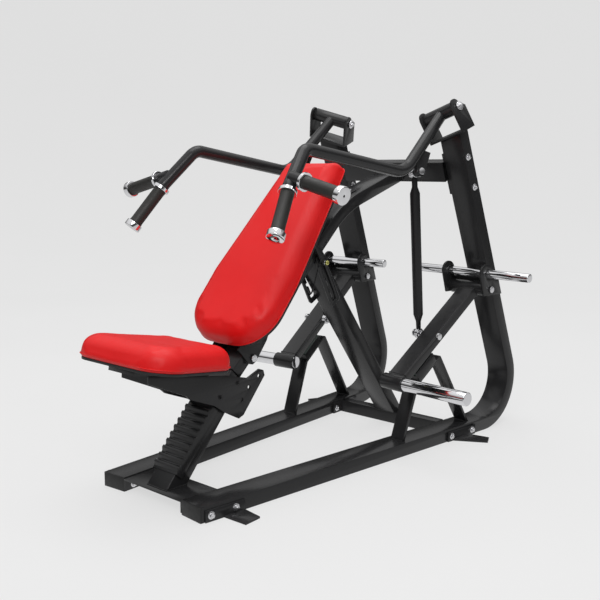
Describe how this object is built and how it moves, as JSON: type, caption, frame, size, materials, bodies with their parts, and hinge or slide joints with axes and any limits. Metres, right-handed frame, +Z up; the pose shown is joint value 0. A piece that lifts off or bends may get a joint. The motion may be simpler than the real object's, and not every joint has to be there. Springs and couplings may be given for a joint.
{
  "type": "incline press machine",
  "caption": "Plate-loaded press machine with splayed bent-tube frames, a sliding seat, a reclining back pad and swinging press arms linked by rods to weight levers.",
  "frame": {"origin": "on the floor, under the middle of the machine's bounding box, in its plane of symmetry", "axes": "+Z up; -Y is the seat end, the way a sitting user faces; +X is the user's left-hand side"},
  "size_m": [1.242, 1.8082, 1.3395],
  "materials": {
    "frame_paint": "gloss charcoal paint",
    "black_paint": "semi-gloss black paint",
    "chrome": "polished",
    "zinc": "bright zinc plate",
    "rubber": "matt moulded rubber",
    "bumper_rubber": "matt dark green rubber",
    "black_plastic": "moulded",
    "red_vinyl": "smooth upholstery vinyl",
    "brass": "turned"
  },
  "bodies": {
    "frame": {"left_side_frame": "frame_paint", "left_rail_cap": "black_plastic", "left_front_foot": "frame_paint", "left_rear_foot": "frame_paint", "left_upper_bracket": "frame_paint", "left_upper_axle": "chrome", "left_lower_bracket": "frame_paint", "left_lower_axle": "zinc", "left_storage_peg": "chrome", "left_stop_brace": "frame_paint", "left_stop_bumper": "bumper_rubber", "left_adjuster_plate": "frame_paint", "right_side_frame": "frame_paint", "right_rail_cap": "black_plastic", "right_front_foot": "frame_paint", "right_rear_foot": "frame_paint", "right_upper_bracket": "frame_paint", "right_upper_axle": "chrome", "right_lower_bracket": "frame_paint", "right_lower_axle": "zinc", "right_storage_peg": "chrome", "right_stop_brace": "frame_paint", "right_stop_bumper": "bumper_rubber", "right_adjuster_plate": "frame_paint", "front_cross_plate": "frame_paint", "rear_cross_member": "frame_paint", "upper_cross_member": "frame_paint", "seat_post": "frame_paint", "seat_ratchet": "frame_paint", "center_post": "frame_paint", "back_spine": "frame_paint", "back_pivot_bolt": "zinc"},
    "left_arm": {"left_press_arm": "frame_paint", "left_lower_grip": "rubber", "left_lower_grip_cap": "chrome", "left_side_grip": "rubber", "left_side_grip_cap": "chrome", "left_link_upper_bolt": "zinc"},
    "left_rod": {"left_link_rod": "black_paint"},
    "left_lever": {"left_weight_lever": "frame_paint", "left_plate_horn": "chrome", "left_link_lower_bolt": "zinc"},
    "right_arm": {"right_press_arm": "frame_paint", "right_lower_grip": "rubber", "right_lower_grip_cap": "chrome", "right_side_grip": "rubber", "right_side_grip_cap": "chrome", "right_link_upper_bolt": "zinc"},
    "right_rod": {"right_link_rod": "black_paint"},
    "right_lever": {"right_weight_lever": "frame_paint", "right_plate_horn": "chrome", "right_link_lower_bolt": "zinc"},
    "seat": {"seat_carriage": "frame_paint", "seat_pad": "red_vinyl"},
    "back": {"back_pad": "red_vinyl", "back_pad_bracket": "black_paint"},
    "strut": {"back_strut": "black_paint", "adjuster_knob": "brass", "wire_handle": "black_paint"}
  },
  "joints": [
    {"name": "left_arm_pivot", "type": "hinge", "parent": "frame", "child": "left_arm", "pos_m": [0.2773, 0.46903, 1.288], "axis": [-0.9438, 0.1859, -0.2732], "range_deg": [0, 45]},
    {"name": "left_rod_pivot", "type": "hinge", "parent": "left_arm", "child": "left_rod", "pos_m": [0.265, 0.30907, 1.0615], "axis": [0.9472, -0.2586, 0.1894], "range_deg": [0, 51.8]},
    {"name": "left_lever_pivot", "type": "hinge", "parent": "frame", "child": "left_lever", "pos_m": [0.31992, 0.64335, 0.6], "axis": [-0.9963, 0.0859, 0], "range_deg": [0, 35.7]},
    {"name": "right_arm_pivot", "type": "hinge", "parent": "frame", "child": "right_arm", "pos_m": [-0.2773, 0.46903, 1.288], "axis": [-0.9438, -0.1859, 0.2732], "range_deg": [0, 45]},
    {"name": "right_rod_pivot", "type": "hinge", "parent": "right_arm", "child": "right_rod", "pos_m": [-0.265, 0.30907, 1.0615], "axis": [0.9472, 0.2586, -0.1894], "range_deg": [0, 51.8]},
    {"name": "right_lever_pivot", "type": "hinge", "parent": "frame", "child": "right_lever", "pos_m": [-0.31992, 0.64335, 0.6], "axis": [-0.9963, -0.0859, 0], "range_deg": [0, 35.7]},
    {"name": "seat_height", "type": "slide", "parent": "frame", "child": "seat", "axis": [0, -0.6455, -0.7638], "range_m": [0, 0.19]},
    {"name": "back_tilt", "type": "hinge", "parent": "frame", "child": "back", "pos_m": [0, -0.35393, 0.428], "axis": [-1, 0, 0], "range_deg": [0, 8]},
    {"name": "strut_pivot", "type": "hinge", "parent": "back", "child": "strut", "pos_m": [0, -0.07193, 0.86], "axis": [-1, 0, 0], "range_deg": [0, 7]}
  ],
  "couplings": [
    {"joint": "left_rod_pivot", "follows": "left_arm_pivot", "ratio": 1.1278},
    {"joint": "left_lever_pivot", "follows": "left_arm_pivot", "ratio": 0.7716},
    {"joint": "right_rod_pivot", "follows": "right_arm_pivot", "ratio": 1.1278},
    {"joint": "right_lever_pivot", "follows": "right_arm_pivot", "ratio": 0.7716},
    {"joint": "strut_pivot", "follows": "back_tilt", "ratio": 0.3766}
  ]
}
